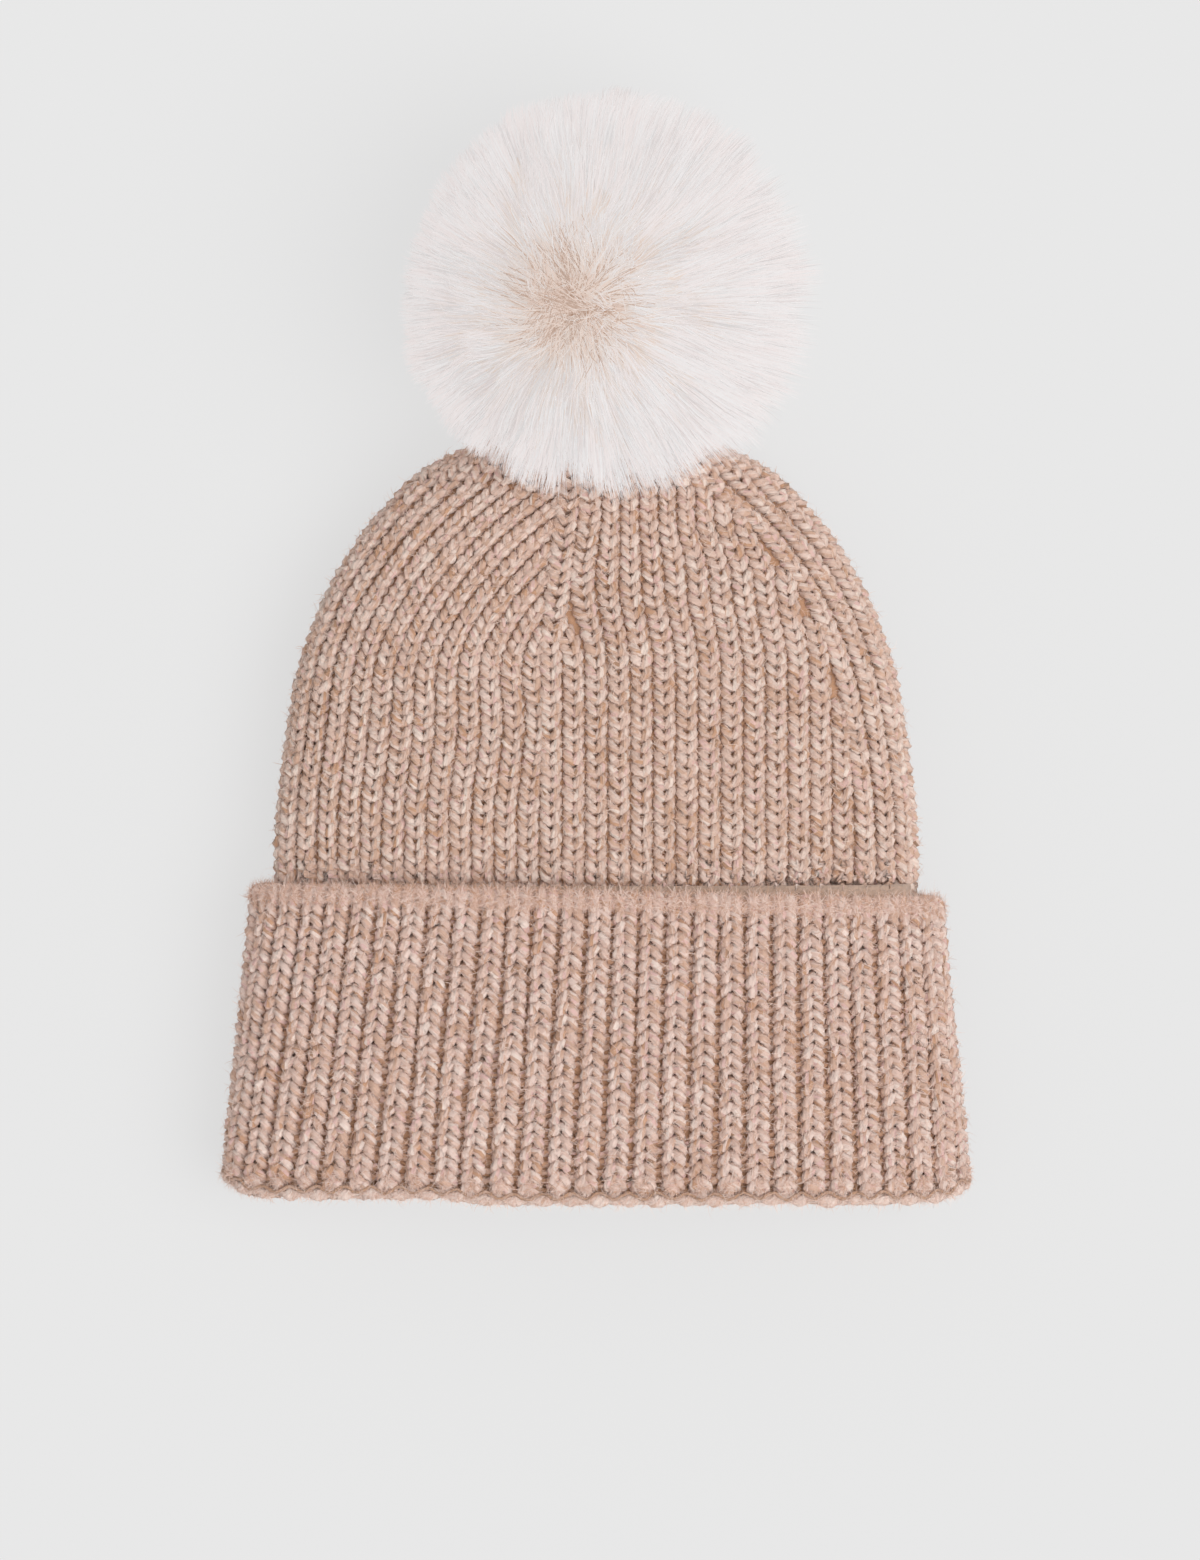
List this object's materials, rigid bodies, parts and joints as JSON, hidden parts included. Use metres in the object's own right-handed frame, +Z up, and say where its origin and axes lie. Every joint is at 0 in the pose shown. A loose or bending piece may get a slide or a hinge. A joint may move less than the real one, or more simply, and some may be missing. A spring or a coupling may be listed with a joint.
{
  "type": "pom pom beanie",
  "caption": "Bulky ribbed knit beanie lying flat, with a turned-up cuff, a shaped crown and a faux-fur pom on a press stud that flops, turns and pulls off.",
  "frame": {"origin": "middle of the foot of the whole hat's box, on the surface that the hat lies on", "axes": "+X across the hat to the right as it lies with its back down, +Y from the mouth towards the pom, +Z up from the surface"},
  "size_m": [0.2144, 0.3172, 0.1055],
  "materials": {
    "body_yarn": "heather beige bulky two-ply wool-blend yarn, slightly fuzzy",
    "cuff_yarn": "heather beige bulky yarn, a little pinker and paler",
    "seam_yarn": "the same yarn worked as a seam or drawn through stitches",
    "label": "blank woven satin, matt",
    "label_thread": "fine polyester sewing thread",
    "felt": "pressed felt",
    "snap_metal": "nickel-plated, satin",
    "spring_wire": "bright spring wire",
    "fur_backing": "knitted fur backing",
    "stuffing": "loose polyester fibre",
    "pom_thread": "strong waxed thread",
    "fur": "long soft faux fur, off-white tips over tan underfur"
  },
  "bodies": {
    "hat": {"crown_knit": "body_yarn", "inner_band": "body_yarn", "turned_cuff": "cuff_yarn", "fold_edge": "cuff_yarn", "cast_on_edge": "cuff_yarn", "back_seam": "seam_yarn", "care_label": "label", "label_stitches": "label_thread"},
    "tip_ring": {"gather_yarn": "seam_yarn"},
    "gathered_tip": {"crown_gather": "body_yarn", "outer_felt_washer": "felt", "inner_felt_washer": "felt"},
    "stud": {"snap_stud": "snap_metal", "stud_rivet_cap": "snap_metal"},
    "pom": {"snap_socket": "snap_metal", "socket_spring": "spring_wire", "socket_cap": "snap_metal", "pom_base_disc": "felt", "pom_backing": "fur_backing", "pom_stuffing": "stuffing", "pom_gather_thread": "pom_thread", "pom_fur_pile": "fur"}
  },
  "joints": [
    {"name": "pom_sway", "type": "hinge", "parent": "hat", "child": "tip_ring", "pos_m": [0, 0.062, 0.025], "axis": [0, 0, 1], "range_deg": [-25, 25]},
    {"name": "pom_lift", "type": "hinge", "parent": "tip_ring", "child": "gathered_tip", "pos_m": [0, 0.062, 0.025], "axis": [1, 0, 0], "range_deg": [0, 30]},
    {"name": "pom_turn", "type": "hinge", "parent": "gathered_tip", "child": "stud", "pos_m": [0, 0.062, 0.025], "axis": [0, 0.866, 0.5], "continuous": true},
    {"name": "pom_pull", "type": "slide", "parent": "stud", "child": "pom", "axis": [0, 0.866, 0.5], "range_m": [0, 0.05]}
  ]
}
